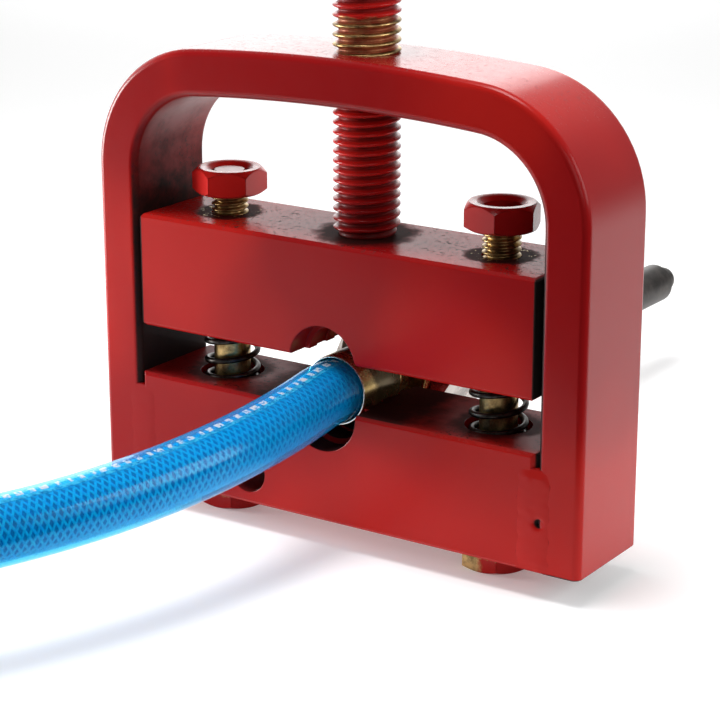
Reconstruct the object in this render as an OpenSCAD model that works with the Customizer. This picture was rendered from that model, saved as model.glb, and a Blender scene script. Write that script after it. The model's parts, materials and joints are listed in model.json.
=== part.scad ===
// Hand screw press with a braided hose and its tube fitting lying in the open die.
// X runs along the jaws, +Y away from the hose side, +Z up the screw.
// Origin: middle of the lower jaw's underside.

/* [Frame] */
// Width over the two legs
frame_w = 120; // [110:1:140]
// Height of the top of the bar above the underside of the lower jaw
frame_h = 98.8; // [96:0.2:104]
// Depth of the flat bar, front to back
bar_d = 25; // [22:1:32]
// Thickness of the flat bar
bar_t = 10; // [8:0.5:12]
// Outside radius of the bent shoulders
shoulder_r = 27; // [20:1:34]
// Radius of the slight arch in the top of the bar
crown_r = 420; // [300:10:900]
// Bevel on the long edges of the bar
bar_edge = 1; // [0.5:0.1:2]
// How far the leg ends stop above the underside of the lower jaw
leg_lift = 0; // [0:0.1:2]

/* [Jaws] */
// Height of each jaw block
jaw_h = 25; // [22:1:28]
// Bevel on the long edges of the jaw blocks
jaw_bevel = 0.7; // [0.4:0.1:1.2]
// Gap between the faces of the open jaws
jaw_gap = 10.7; // [10.5:0.1:12]
// Side gap between the upper jaw and each leg
side_gap = 1.1; // [0.6:0.1:1.5]
// Diameter of the cross hole in the lower jaw
cross_hole_d = 9; // [6:0.5:10]
// Distance of the cross hole from the middle of the frame
cross_hole_x = -21; // [-23:0.5:-19]
// Height of the cross hole's axis
cross_hole_z = 7.2; // [6:0.1:10]
// Leg size of the corner grooves that hold the welds
groove = 1.4; // [1:0.1:3]
// Length of open groove left above each weld
groove_open = 3.3; // [2:0.1:8]

/* [Die] */
// Die axis from the middle of the frame
die_x = -1.4; // [-3:0.1:3]
// Depth of the die axis under the face of each jaw
die_drop = 0.9; // [0.5:0.1:1.2]
// Radius of the mouth on the hose side
mouth_r = 8.2; // [7.8:0.1:9]
// Depth of the mouth
mouth_l = 5.5; // [4:0.5:7]
// Radius of the relief between the crimp ribs
relief_r = 7.6; // [7.3:0.1:8]
// Radius inside the crimp ribs
rib_r = 7; // [6.8:0.05:7.2]
// Number of crimp ribs
rib_count = 3; // [2:1:4]
// Width of each rib
rib_w = 3; // [2:0.5:3.5]

/* [Screw] */
// Thread diameter of the press screw
screw_d = 14; // [12:1:16]
// Screw axis from the middle of the frame
screw_x = 1.5; // [-3:0.1:3]
// Length of thread, head to shoulder
screw_l = 60; // [58:1:80]
// Size across flats of the screw head
screw_af = 22; // [19:1:24]
// Height of the screw head
screw_k = 9; // [8:0.5:10]
// Diameter of the dog point
dog_d = 9.5; // [8:0.5:10]
// Length of the dog point
dog_l = 4; // [3:0.5:5]

/* [Guide bolts] */
// Thread diameter of the guide bolts
bolt_d = 8; // [7:0.5:8.5]
// Length of each bolt under its head
bolt_l = 70; // [69:0.5:71]
// Distance of each bolt from the middle of the frame
bolt_x = 33.9; // [32:0.1:35]
// Size across flats of bolt heads and stop nuts
bolt_af = 14; // [13:0.5:14]
// Height of the bolt heads
head_k = 5.5; // [5:0.1:6]
// Height of the stop nuts
nut_m = 5.6; // [5:0.1:6.5]
// Gap from the upper jaw to the left stop nut
stop_gap_left = 4.3; // [4.3:0.1:5]
// Gap from the upper jaw to the right stop nut
stop_gap_right = 5.5; // [4.3:0.1:6]

/* [Springs] */
// Outside diameter of the springs
spring_d = 12.4; // [11.5:0.1:12.6]
// Wire diameter of the springs
wire_d = 1.3; // [1:0.1:1.5]
// Coils in each spring
coils = 4.5; // [3.5:0.5:6]
// Diameter of the spring pockets
pocket_d = 14; // [13.2:0.1:15]
// Depth of the spring pockets
pocket_l = 3; // [2:0.5:4]
// How closely the end coils lie, 0 for an even pitch
end_close = 0.6; // [0:0.1:0.8]

/* [Hose] */
// Outside diameter of the hose
hose_od = 13.6; // [13:0.1:13.8]
// Bore of the hose
hose_id = 8; // [7.6:0.1:8.4]
// Thickness of the clear cover
cover_t = 0.9; // [0.6:0.1:1]
// Thickness of the braid layer
braid_t = 0.6; // [0.4:0.1:0.8]
// Bend radius where the hose sags out of the ferrule
sag_r = 32; // [28:1:60]
// Angle of that sag
sag_angle = 8; // [4:1:10]
// Bend radius of the long sideways curve
sweep_r = 185; // [150:5:260]
// Angle of the long sideways curve
sweep_angle = 30; // [20:1:40]

/* [Fitting] */
// Outside diameter of the ferrule
ferrule_d = 15; // [14.6:0.1:15]
// Wall of the ferrule
ferrule_t = 0.45; // [0.35:0.05:0.5]
// Length of the ferrule
ferrule_l = 14; // [13:0.5:14]
// Thread diameter between the stem and the union nut
union_thread = 20; // [16:0.5:20]
// Size across flats of the union nut
union_af = 27; // [25:0.5:30]
// Length of the union nut
union_l = 23; // [16:1:26]
// Outside diameter of the tail tube
tail_d = 10; // [9:0.5:10]
// Length of the tail tube's sloping run
tail_l = 69.6; // [50:0.2:90]
// Angle of that slope
tail_droop = 8; // [4:1:8]
// Length of the level end of the tail tube
tail_end_l = 17; // [16:1:40]

/* [Hidden] */
// Names of the pieces; node picks one of them, or all
$fn = 96;

// Clearances: run_fit on a sliding or turning pair, touch_fit between faces that rest together
run_fit = 0.05;
touch_fit = 0.02;
// Overshoot of a cutting shape past the face that it cuts
cut = 1;
// Where a leg follows a bend: how much thinner it is, and how far it reaches back into the bend
joint_step = 0.03;
joint_lap = 0.4;
// Distance by which a cutting profile clears a corner that it would otherwise just graze
graze = 0.01;

// Levels and widths of the press
inner_w = frame_w - 2 * bar_t;
lower_top = jaw_h;
upper_z = lower_top + jaw_gap;
upper_top = upper_z + jaw_h;
upper_w = inner_w - 2 * side_gap;
front_y = -bar_d / 2;

// Bends of the bar: a shoulder turns about bend_x, bend_z and runs tangent into the arched top
shoulder_inner_r = shoulder_r - bar_t;
bend_x = inner_w / 2 - shoulder_inner_r;
crown_arm = crown_r - shoulder_inner_r;
crown_angle = asin(bend_x / crown_arm);
bend_z = frame_h - bar_t - crown_r + crown_arm * cos(crown_angle);
lap_angle = joint_lap / crown_r * 180 / PI;

// Holes for the guide bolts
bolt_hole_d = bolt_d + 2 * run_fit;

// Levels of the ferrule: it rests on the lips of the ribs in the lower jaw
lip_half = sqrt(rib_r * rib_r - die_drop * die_drop);
ferrule_r = ferrule_d / 2;
hose_z = lower_top + sqrt(ferrule_r * ferrule_r - lip_half * lip_half) + touch_fit;

// Places along the fitting's axis, in Y: rim and lip are the open and closed ends of the ferrule,
// mouth is the end of the stem's thread, where the tail tube goes in
rim_inset = 4.7;
rim_y = front_y + rim_inset;
lip_y = rim_y + ferrule_l;
lip_t = 0.8;
hose_end_y = lip_y - lip_t - 0.4;
hose_lead = 2.4;
hose_straight_l = hose_end_y - rim_y + hose_lead;
collar_l = 3.4;
back_y = bar_d / 2;
thread_y = back_y + 1;
thread_l = 10.5;
mouth_y = thread_y + thread_l;
tube_seat_y = mouth_y - 7;
union_y = thread_y + 0.6;

// Radii of the stem, and the length of the cone in its mouth
stem_bore_r = 2.5;
stem_tail_r = hose_id / 2 - 0.1;
stem_groove_r = stem_tail_r + 0.6;
collar_r = ferrule_r - 0.9;
thread_r = union_thread / 2;
neck_r = collar_r - 0.6;
tube_r = tail_d / 2;
cone_r = tube_r + 1.2;
cone_l = 2.8;

// Tail tube: wall, straight length from its seat in the stem, radius of its two bends
tube_wall = 1.5;
tail_lead = 28;
tail_bend_r = 40;

// ---- Shared shapes ----

// Hexagonal prism, chamfered at the corners of the end faces that ask for it
module hex_prism(across_flats, height, chamfer_top = true, chamfer_bottom = true) {
    flat_r = across_flats / 2;
    corner_r = across_flats / sqrt(3);
    rise = (corner_r - flat_r) * tan(30);
    uncut_r = corner_r + cut;
    edge_r = corner_r + graze;
    intersection() {
        cylinder(h = height, r = corner_r, $fn = 6);
        rotate_extrude()
            polygon(concat(
                [[0, 0]],
                chamfer_bottom ? [[flat_r, 0], [edge_r, rise]] : [[uncut_r, 0]],
                chamfer_top ? [[edge_r, height - rise], [flat_r, height]] : [[uncut_r, height]],
                [[0, height]]
            ));
    }
}

// Block with bevelled edges along X and at its ends, standing on z = 0
module bevelled_block(width, depth, height, bevel) {
    intersection() {
        translate([-width / 2, 0, 0])
            rotate([90, 0, 90])
            linear_extrude(width)
            translate([-depth / 2, 0])
            polygon(bevelled_outline(depth, height, bevel));
        translate([0, depth / 2, 0])
            rotate([90, 0, 0])
            linear_extrude(depth)
            translate([-width / 2, 0])
            polygon(bevelled_outline(width, height, bevel));
    }
}

// Rectangle from the origin with its four corners cut off
function bevelled_outline(w, h, b) =
    [[b, 0], [w - b, 0], [w, b], [w, h - b], [w - b, h], [b, h], [0, h - b], [0, b]];

// Turns a shape built along +Z to run along +Y on the die axis
module along_die(z) {
    translate([die_x, 0, z]) rotate([-90, 0, 0]) children();
}

// Cylinder along +Y between two stations on the die axis
module die_bar(y_from, y_to, r, z) {
    along_die(z) translate([0, 0, y_from]) cylinder(h = y_to - y_from, r = r);
}

// Everything that the die removes from a jaw, with its axis at height z
module die_cut(z) {
    ribs_y = front_y + mouth_l;
    pitch = (back_y - ribs_y) / rib_count;
    die_bar(front_y - cut, ribs_y, mouth_r, z);
    die_bar(front_y, back_y + cut, rib_r, z);
    for (i = [0 : rib_count - 1])
        die_bar(ribs_y + i * pitch + rib_w, ribs_y + (i + 1) * pitch, relief_r, z);
}

// Places its children on both bolt axes
module at_bolts() {
    for (side = [-1, 1]) translate([side * bolt_x, 0, 0]) children();
}

// ---- Press ----

// Cross-section of the bent bar, x = 0 on its inner face; thin is taken off every side
module bar_section(thin = 0) {
    translate([thin, front_y + thin])
        polygon(bevelled_outline(bar_t - 2 * thin, bar_d - 2 * thin, bar_edge));
}

// Bent run of the bar about the Y axis, from one angle above +X to another
module bar_bend(inner_r, from, to, thin = 0) {
    rotate([90, 0, 0])
        rotate([0, 0, from])
        rotate_extrude(angle = to - from)
        translate([inner_r, 0])
        bar_section(thin);
}

// One leg and its shoulder, on the +X side
module leg_and_shoulder() {
    translate([inner_w / 2, 0, leg_lift]) linear_extrude(bend_z - leg_lift) bar_section();
    translate([bend_x, 0, bend_z]) bar_bend(shoulder_inner_r, 0, 90 - crown_angle);
}

// Both legs and the arched top of the bar, with the hole for the screw through it
module frame() {
    color("firebrick")
    difference() {
        union() {
            for (side = [0, 1]) mirror([side, 0, 0]) leg_and_shoulder();
            translate([0, 0, frame_h - bar_t - crown_r])
                bar_bend(crown_r, 90 - crown_angle - lap_angle, 90 + crown_angle + lap_angle, joint_step);
        }
        translate([screw_x, 0, frame_h - bar_t - cut])
            cylinder(h = bar_t + 2 * cut, r = screw_d / 2 + run_fit);
    }
}

// Triangle that a corner groove takes from the lower jaw, seen from above
module groove_outline() {
    polygon([[0, 0], [-groove, 0], [0, groove]]);
}

// Both grooves on the +X end of the lower jaw
module end_grooves(z, height) {
    translate([0, 0, z]) linear_extrude(height) {
        translate([inner_w / 2, front_y]) groove_outline();
        translate([inner_w / 2, back_y]) mirror([0, 1]) groove_outline();
    }
}

// Block between the legs: die, corner grooves, bolt holes with spring pockets, cross hole
module lower_jaw() {
    color("firebrick")
    difference() {
        bevelled_block(inner_w, bar_d, jaw_h, jaw_bevel);
        die_cut(lower_top - die_drop);
        for (side = [0, 1]) mirror([side, 0, 0]) end_grooves(-cut, jaw_h + 2 * cut);
        at_bolts() {
            translate([0, 0, -cut]) cylinder(h = jaw_h + 2 * cut, d = bolt_hole_d);
            translate([0, 0, lower_top - pocket_l]) cylinder(h = pocket_l + cut, d = pocket_d);
        }
        translate([cross_hole_x, back_y + cut, cross_hole_z])
            rotate([90, 0, 0])
            cylinder(h = bar_d + 2 * cut, d = cross_hole_d);
    }
}

// Front and back beads at one end of the lower jaw
module weld(side) {
    color("firebrick")
    scale([side, 1, 1])
    end_grooves(0, lower_top - groove_open);
}

// Sliding block: die, bolt holes with spring pockets, blind hole for the screw's dog point
module upper_jaw() {
    color("firebrick")
    difference() {
        translate([0, 0, upper_z]) bevelled_block(upper_w, bar_d, jaw_h, jaw_bevel);
        die_cut(upper_z - die_drop);
        at_bolts() {
            translate([0, 0, upper_z - cut]) cylinder(h = jaw_h + 2 * cut, d = bolt_hole_d);
            translate([0, 0, upper_z - cut]) cylinder(h = pocket_l + cut, d = pocket_d);
        }
        translate([screw_x, 0, upper_top - dog_l - 2 * touch_fit])
            cylinder(h = dog_l + cut, r = dog_d / 2 + run_fit);
    }
}

// Screw with a dog point that turns in the blind hole of the upper jaw
module press_screw() {
    tip = 1.2;
    dog_tip = 0.5;
    color("firebrick")
    translate([screw_x, 0, upper_top + touch_fit]) {
        rotate_extrude()
            polygon([
                [0, -dog_l],
                [dog_d / 2 - dog_tip, -dog_l],
                [dog_d / 2, dog_tip - dog_l],
                [dog_d / 2, 0],
                [screw_d / 2 - tip, 0],
                [screw_d / 2, tip],
                [screw_d / 2, screw_l],
                [0, screw_l]
            ]);
        translate([0, 0, screw_l]) hex_prism(screw_af, screw_k, chamfer_bottom = false);
    }
}

// Bolt from below, its head against the underside of the lower jaw
module guide_bolt(side) {
    tip = 0.8;
    color("darkkhaki")
    translate([side * bolt_x, 0, 0]) {
        translate([0, 0, -head_k - touch_fit]) hex_prism(bolt_af, head_k, chamfer_top = false);
        translate([0, 0, -head_k / 2]) cylinder(h = head_k / 2 + bolt_l - tip, d = bolt_d);
        translate([0, 0, bolt_l - tip]) cylinder(h = tip, d1 = bolt_d, d2 = bolt_d - 2 * tip);
    }
}

// The turn sets which flat faces the front
module stop_nut(side, gap, turn) {
    color("firebrick")
    translate([side * bolt_x, 0, upper_top + gap])
        difference() {
            rotate([0, 0, turn]) hex_prism(bolt_af, nut_m);
            translate([0, 0, -cut]) cylinder(h = nut_m + 2 * cut, r = bolt_d / 2 + run_fit);
        }
}

// Share of the spring's height reached at share t of its wire: the end coils lie close
function climb(t) = (1 - end_close) * t + end_close * t * t * (3 - 2 * t);

// Helical wire from the floor of the lower pocket to the roof of the upper one
module coil_spring(side) {
    steps = 20;
    sides = 6;
    wire_r = wire_d / 2;
    coil_r = spring_d / 2 - wire_r;
    foot = lower_top - pocket_l + wire_r + touch_fit;
    rise = jaw_gap + 2 * pocket_l - wire_d - 2 * touch_fit;
    last = coils * steps;
    ring = [for (j = [0 : sides - 1]) 360 * j / sides];
    points = [for (i = [0 : last], a = ring)
        let (turn = 360 * i / steps, r = coil_r + wire_r * cos(a))
        [r * cos(turn), r * sin(turn), rise * climb(i / last) + wire_r * sin(a)]];
    walls = [for (i = [0 : last - 1], j = [0 : sides - 1])
        let (k = (j + 1) % sides)
        [i * sides + j, (i + 1) * sides + j, (i + 1) * sides + k, i * sides + k]];
    ends = [[for (j = [0 : sides - 1]) j], [for (j = [sides - 1 : -1 : 0]) last * sides + j]];
    color("dimgray")
    translate([side * bolt_x, 0, foot])
        polyhedron(points = points, faces = concat(walls, ends));
}

// ---- Hose assembly ----

// Bar swept round a bend that leaves +Z and turns towards +X
module bend_leg(r, bend_r, angle) {
    translate([bend_r, 0, 0])
        rotate([90, 0, 180])
        rotate_extrude(angle = angle)
        translate([bend_r, 0])
        circle(r);
}

// Moves its children to the end of such a bend
module after_bend(bend_r, angle) {
    translate([bend_r * (1 - cos(angle)), 0, bend_r * sin(angle)])
        rotate([0, angle, 0])
        children();
}

// Straight leg along +Z that also reaches back into the leg before it
module next_leg(r, back, length) {
    translate([0, 0, -back]) cylinder(h = back + length, r = r);
}

// Solid run of the hose from its end in the ferrule: straight, a short sag, then the long sweep.
// The sweep is thinner by the joint step, and turned round the hose's axis from the sag.
module hose_run(r, over) {
    sweep_turn = 104;
    level_l = 1;
    translate([die_x, hose_end_y, hose_z])
        rotate([90, 0, 0])
        rotate([0, 0, -90]) {
            next_leg(r, over, hose_straight_l);
            translate([0, 0, hose_straight_l]) {
                bend_leg(r, sag_r, sag_angle);
                after_bend(sag_r, sag_angle)
                    rotate([0, 0, -sweep_turn]) {
                        next_leg(r - joint_step, joint_lap, level_l);
                        translate([0, 0, level_l])
                            bend_leg(r - joint_step, sweep_r, sweep_angle + over);
                    }
            }
        }
}

// One layer of the hose
module hose_layer(r_out, r_in) {
    difference() {
        hose_run(r_out, 0);
        hose_run(r_in, cut);
    }
}

module hose_cover() {
    color("dodgerblue") hose_layer(hose_od / 2, hose_od / 2 - cover_t);
}

module hose_braid() {
    outer = hose_od / 2 - cover_t - touch_fit;
    color("lightskyblue") hose_layer(outer, outer - braid_t);
}

module hose_liner() {
    color("royalblue") hose_layer(hose_od / 2 - cover_t - braid_t - 2 * touch_fit, hose_id / 2);
}

// Thin shell, open at the rim, with a lip that grips the stem's groove
module ferrule() {
    color("goldenrod")
    along_die(hose_z)
        rotate_extrude()
        polygon([
            [ferrule_r - ferrule_t, rim_y],
            [ferrule_r, rim_y],
            [ferrule_r, lip_y],
            [stem_groove_r + run_fit, lip_y],
            [stem_groove_r + run_fit, lip_y - lip_t],
            [ferrule_r - ferrule_t, lip_y - lip_t]
        ]);
}

// Barbed insert, collar behind the ferrule and threaded end with its cone mouth
module hose_stem() {
    barb_out = 0.08;
    barb_in = 0.4;
    barb_count = 4;
    barb_crest = 0.8;
    tip_y = rim_y + 2;
    barb_pitch = (hose_end_y - tip_y) / barb_count;
    barb = [[stem_tail_r - barb_in, 0], [stem_tail_r + barb_out, barb_crest * barb_pitch]];
    barbs = [for (i = [0 : barb_count - 1], p = barb) [p[0], tip_y + i * barb_pitch + p[1]]];
    groove_y = hose_end_y + touch_fit;
    collar_y = lip_y + touch_fit;
    color("darkgoldenrod")
    along_die(hose_z)
        rotate_extrude()
        polygon(concat(
            [[stem_bore_r, tip_y]],
            barbs,
            [
                [stem_tail_r, groove_y],
                [stem_groove_r, groove_y],
                [stem_groove_r, collar_y],
                [collar_r, collar_y],
                [collar_r, collar_y + collar_l],
                [neck_r, collar_y + collar_l],
                [neck_r, thread_y],
                [thread_r, thread_y],
                [thread_r, mouth_y],
                [cone_r, mouth_y],
                [tube_r + run_fit, mouth_y - cone_l],
                [tube_r + run_fit, tube_seat_y],
                [stem_bore_r, tube_seat_y]
            ]));
}

// Wedge ring between the stem's cone and the nut, told as places from the stem's mouth
module cutting_ring() {
    nose_in = 2;
    nose_wall = 0.25;
    side_gap = 0.1;
    land_r = cone_r + 0.5;
    land_from = 0.8;
    land_to = 1.6;
    tail_out = 2.8;
    inner_r = tube_r + touch_fit;
    color("dimgray")
    along_die(hose_z)
        translate([0, 0, mouth_y])
        rotate_extrude()
        polygon([
            [inner_r, -nose_in],
            [inner_r + nose_wall, -nose_in],
            [cone_r - side_gap, side_gap],
            [land_r, land_from],
            [land_r, land_to],
            [inner_r, tail_out]
        ]);
}

// Nut on the stem's thread; the chamber and the cone inside it close on the cutting ring
module union_nut() {
    runout = 0.3;
    chamber_r = cone_r + 1.2;
    chamber_l = 1.9;
    inner_cone_l = 2.4;
    hole_r = tube_r + 2 * run_fit;
    chamber_z = mouth_y - union_y;
    cone_z = chamber_z + chamber_l;
    color("silver")
    along_die(hose_z)
        translate([0, 0, union_y])
        difference() {
            hex_prism(union_af, union_l);
            rotate_extrude()
                polygon([
                    [0, -cut],
                    [thread_r + run_fit, -cut],
                    [thread_r + run_fit, chamber_z + runout],
                    [chamber_r, chamber_z + runout],
                    [chamber_r, cone_z],
                    [hole_r, cone_z + inner_cone_l],
                    [hole_r, union_l + cut],
                    [0, union_l + cut]
                ]);
        }
}

// Starts its children at the tube's seat in the stem, running along +Y and bending down
module at_tube_seat() {
    translate([die_x, tube_seat_y + touch_fit, hose_z])
        rotate([-90, 0, 0])
        rotate([0, 0, 90])
        children();
}

// Moves its children behind the tail tube's droop
module after_droop() {
    translate([0, 0, tail_lead]) after_bend(tail_bend_r, tail_droop) children();
}

// Moves its children behind the bend that levels the tail tube again
module after_levelling() {
    after_droop()
        translate([0, 0, tail_l])
        rotate([0, 0, 180])
        after_bend(tail_bend_r, tail_droop)
        children();
}

// Solid run of the tail tube: straight in the fitting, a droop, a sloping run, then level to its end
module tail_run(r, over, end_l) {
    next_leg(r, over, tail_lead);
    translate([0, 0, tail_lead]) bend_leg(r, tail_bend_r, tail_droop);
    after_droop() {
        next_leg(r - joint_step, joint_lap, tail_l);
        translate([0, 0, tail_l])
            rotate([0, 0, 180])
            bend_leg(r - joint_step, tail_bend_r, tail_droop);
    }
    after_levelling() next_leg(r - 2 * joint_step, joint_lap, end_l);
}

// Rounded nose on the closed end of the tail tube
module tail_nose() {
    nose_r = 3.3;
    nose_l = 6.8;
    root = 1;
    rotate_extrude()
        polygon(concat(
            [[0, -root], [nose_r, -root]],
            [for (a = [0 : 15 : 75]) [nose_r * cos(a), nose_l - nose_r + nose_r * sin(a)]],
            [[0, nose_l]]
        ));
}

// Thin-walled tube with a solid plug behind its nose
module tail_tube() {
    plug_l = 5;
    color("dimgray")
    at_tube_seat() {
        difference() {
            tail_run(tube_r, 0, tail_end_l);
            tail_run(tube_r - tube_wall, cut, tail_end_l - plug_l);
        }
        after_levelling() translate([0, 0, tail_end_l]) tail_nose();
    }
}

frame();
lower_jaw();
weld(-1);  // weld_left
weld(1);  // weld_right
guide_bolt(-1);  // guide_bolt_left
guide_bolt(1);  // guide_bolt_right
stop_nut(-1, stop_gap_left, -28);  // stop_nut_left
stop_nut(1, stop_gap_right, -11);  // stop_nut_right
coil_spring(-1);  // spring_left
coil_spring(1);  // spring_right
upper_jaw();
press_screw();
hose_cover();
hose_braid();
hose_liner();
ferrule();
hose_stem();
cutting_ring();
union_nut();
tail_tube();
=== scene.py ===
import json
import math
import random

import bmesh
import bpy
from mathutils import Matrix, Vector

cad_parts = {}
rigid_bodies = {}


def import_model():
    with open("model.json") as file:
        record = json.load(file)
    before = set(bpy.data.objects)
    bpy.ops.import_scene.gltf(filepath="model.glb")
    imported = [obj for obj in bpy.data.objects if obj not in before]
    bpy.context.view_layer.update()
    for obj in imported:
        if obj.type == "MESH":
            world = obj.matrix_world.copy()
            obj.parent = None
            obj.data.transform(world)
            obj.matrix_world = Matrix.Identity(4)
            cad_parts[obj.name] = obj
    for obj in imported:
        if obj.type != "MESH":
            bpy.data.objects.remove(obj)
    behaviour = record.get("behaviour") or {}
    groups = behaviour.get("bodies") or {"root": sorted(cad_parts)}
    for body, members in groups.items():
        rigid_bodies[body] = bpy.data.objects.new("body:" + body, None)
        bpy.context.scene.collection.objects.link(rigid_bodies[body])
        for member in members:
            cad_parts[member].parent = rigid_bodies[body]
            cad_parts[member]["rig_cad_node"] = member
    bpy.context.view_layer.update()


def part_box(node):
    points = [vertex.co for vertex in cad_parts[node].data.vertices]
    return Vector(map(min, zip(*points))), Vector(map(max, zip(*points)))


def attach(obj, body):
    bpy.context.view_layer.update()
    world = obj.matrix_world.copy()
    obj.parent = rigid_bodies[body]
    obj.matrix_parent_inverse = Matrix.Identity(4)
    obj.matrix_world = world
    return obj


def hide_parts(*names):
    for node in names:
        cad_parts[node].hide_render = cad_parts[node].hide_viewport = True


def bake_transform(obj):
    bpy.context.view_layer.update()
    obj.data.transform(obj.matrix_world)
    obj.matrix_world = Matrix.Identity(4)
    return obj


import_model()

MM = 0.001
TURN = 2 * math.pi
DICE = random.Random(7)


# ---- Places read from the CAD, in millimetres ----

def mm_box(node):
    low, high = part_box(node)
    return low / MM, high / MM


def centre(node):
    low, high = mm_box(node)
    return (low + high) / 2


FRAME_LOW, FRAME_HIGH = mm_box("frame")
LOWER_LOW, LOWER_HIGH = mm_box("lower_jaw")
UPPER_HIGH = mm_box("upper_jaw")[1]
FERRULE_LOW, FERRULE_HIGH = mm_box("ferrule")
STEM_LOW, STEM_HIGH = mm_box("hose_stem")
NUT_LOW, NUT_HIGH = mm_box("union_nut")
TUBE_LOW = mm_box("tail_tube")[0]
SCREW_LOW, SCREW_HIGH = mm_box("press_screw")
BOLT_X = centre("guide_bolt_right").x
SCREW_X = centre("press_screw").x
DIE_X = centre("ferrule").x
DIE_Z = centre("ferrule").z
FERRULE_R = (FERRULE_HIGH.x - FERRULE_LOW.x) / 2
INNER_HALF = (LOWER_HIGH.x - LOWER_LOW.x) / 2
BACK_Y = FRAME_HIGH.y
BAR_T = FRAME_HIGH.x - INNER_HALF
FLOOR_Z = mm_box("guide_bolt_left")[0].z
BOLT_TOP_Z = mm_box("guide_bolt_left")[1].z

# ---- Sizes that the CAD boxes don't give, in millimetres ----

# Radii of the bent bar: underside of its arched top, and outside of its shoulders
CROWN_R = 420.0
SHOULDER_R = 27.0

SCREW_R = 7.0
SCREW_PITCH = 2.0
SCREW_HEAD_FLATS = 22.0
SCREW_HEAD_H = 9.0
BOLT_R = 4.0
BOLT_PITCH = 1.25
BOLT_FLATS = 14.0
UNION_R = 10.0
UNION_PITCH = 1.5
UNION_FLATS = 27.0

# Pinhole in the front of the right weld: x and z
PINHOLE = (50.6, 10.7)

# The bare stretch of the press screw's thread: lower and upper end
BAND_Z = (98.0, 106.2)


# ---- Shader helpers ----

class Graph:
    """A node tree built from short calls that each return an output socket."""

    def __init__(self, tree):
        self.tree = tree

    def node(self, kind, values, **props):
        made = self.tree.nodes.new(kind)
        for key, value in props.items():
            setattr(made, key, value)
        for index, value in values.items():
            self.put(made.inputs[index], value)
        return made

    def put(self, socket, value):
        if isinstance(value, bpy.types.NodeSocket):
            self.tree.links.new(value, socket)
        else:
            socket.default_value = value

    def math(self, operation, a, b=0.0):
        return self.node("ShaderNodeMath", {0: a, 1: b}, operation=operation).outputs[0]

    def product(self, a, b):
        return self.math("MULTIPLY", a, b)

    def coords(self, kind="Object"):
        return self.node("ShaderNodeTexCoord", {}).outputs[kind]

    def split(self, vector):
        return self.node("ShaderNodeSeparateXYZ", {0: vector}).outputs

    def noise(self, scale, detail=3.0, rough=0.5):
        """Cloudy noise; scale counts features per metre."""
        values = {"Vector": self.coords(), "Scale": scale, "Detail": detail, "Roughness": rough}
        return self.node("ShaderNodeTexNoise", values).outputs["Fac"]

    def step(self, value, low, high):
        """0 below low and 1 above high, smooth between; low may be the larger one."""
        values = {"Value": value, "From Min": low, "From Max": high}
        return self.node("ShaderNodeMapRange", values, interpolation_type="SMOOTHSTEP").outputs[0]

    def mix(self, factor, a, b):
        made = self.node("ShaderNodeMix", {0: factor}, data_type="RGBA")
        self.put(made.inputs[6], a if isinstance(a, bpy.types.NodeSocket) else (*a, 1))
        self.put(made.inputs[7], b if isinstance(b, bpy.types.NodeSocket) else (*b, 1))
        return made.outputs[2]

    def blend(self, factor, a, b):
        return self.node("ShaderNodeMix", {0: factor, 2: a, 3: b}, data_type="FLOAT").outputs[0]

    def invert(self, value):
        return self.math("SUBTRACT", 1.0, value)

    def normal(self):
        return self.node("ShaderNodeNewGeometry", {}).outputs["Normal"]

    def edges(self, radius_mm):
        """How far the surface turns within the radius: 0 on a flat, towards 1 at an edge."""
        round_normal = self.node("ShaderNodeBevel", {"Radius": radius_mm * MM}, samples=4).outputs[0]
        values = {0: round_normal, 1: self.normal()}
        same = self.node("ShaderNodeVectorMath", values, operation="DOT_PRODUCT").outputs["Value"]
        return self.invert(same)

    def up(self):
        """1 on faces that look up, 0 on walls and undersides."""
        return self.step(self.split(self.normal())[2], 0.6, 0.9)

    def facing(self, blend=0.5):
        """0 where the surface looks at the camera, towards 1 where it is seen edge on."""
        return self.node("ShaderNodeLayerWeight", {"Blend": blend}).outputs["Facing"]


class Shader(Graph):
    """The node tree of one material."""

    def __init__(self, name):
        self.material = bpy.data.materials.new(name)
        self.material.use_nodes = True
        super().__init__(self.material.node_tree)
        self.bsdf = self.tree.nodes["Principled BSDF"]
        self.output = self.tree.nodes["Material Output"]

    def set(self, name, value):
        self.put(self.bsdf.inputs[name], value)

    def bump(self, height, strength, distance_mm):
        values = {"Strength": strength, "Distance": distance_mm * MM, "Height": height}
        self.set("Normal", self.node("ShaderNodeBump", values).outputs[0])

    def radius_from(self, x_mm, y_mm, mirrored=False):
        """Distance in mm from the upright axis through x, y, or from the nearer of two mirrored ones."""
        x, y, _ = self.split(self.coords())
        if mirrored:
            x = self.math("ABSOLUTE", x)
        dx = self.math("SUBTRACT", x, x_mm * MM)
        dy = self.math("SUBTRACT", y, y_mm * MM)
        square = self.math("ADD", self.product(dx, dx), self.product(dy, dy))
        return self.math("DIVIDE", self.math("SQRT", square), MM)

    def height_mm(self):
        return self.math("DIVIDE", self.split(self.coords())[2], MM)

    def across_mm(self):
        return self.math("DIVIDE", self.split(self.coords())[0], MM)

    def along_mm(self):
        return self.math("DIVIDE", self.split(self.coords())[1], MM)

    def off_centre_mm(self):
        return self.math("ABSOLUTE", self.across_mm())


# ---- Materials ----

RED_DEEP = (0.29, 0.006, 0.007)
RED_BRIGHT = (0.45, 0.012, 0.009)
# Brighter copy of the red for the nuts and the screw: painted light, for lamp light that the frame keeps
# off them
RED_LIT = (0.70, 0.020, 0.016)
RED_EDGE = (0.12, 0.004, 0.004)
DIRT = (0.018, 0.012, 0.010)
# Black for grease and for painted shade
GREASE_AND_SHADE_BLACK = (0.012, 0.009, 0.008)
ZINC_LIGHT = (0.62, 0.44, 0.19)
ZINC_DARK = (0.20, 0.13, 0.055)
BARE_RIM = (0.95, 0.92, 0.86)


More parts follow.
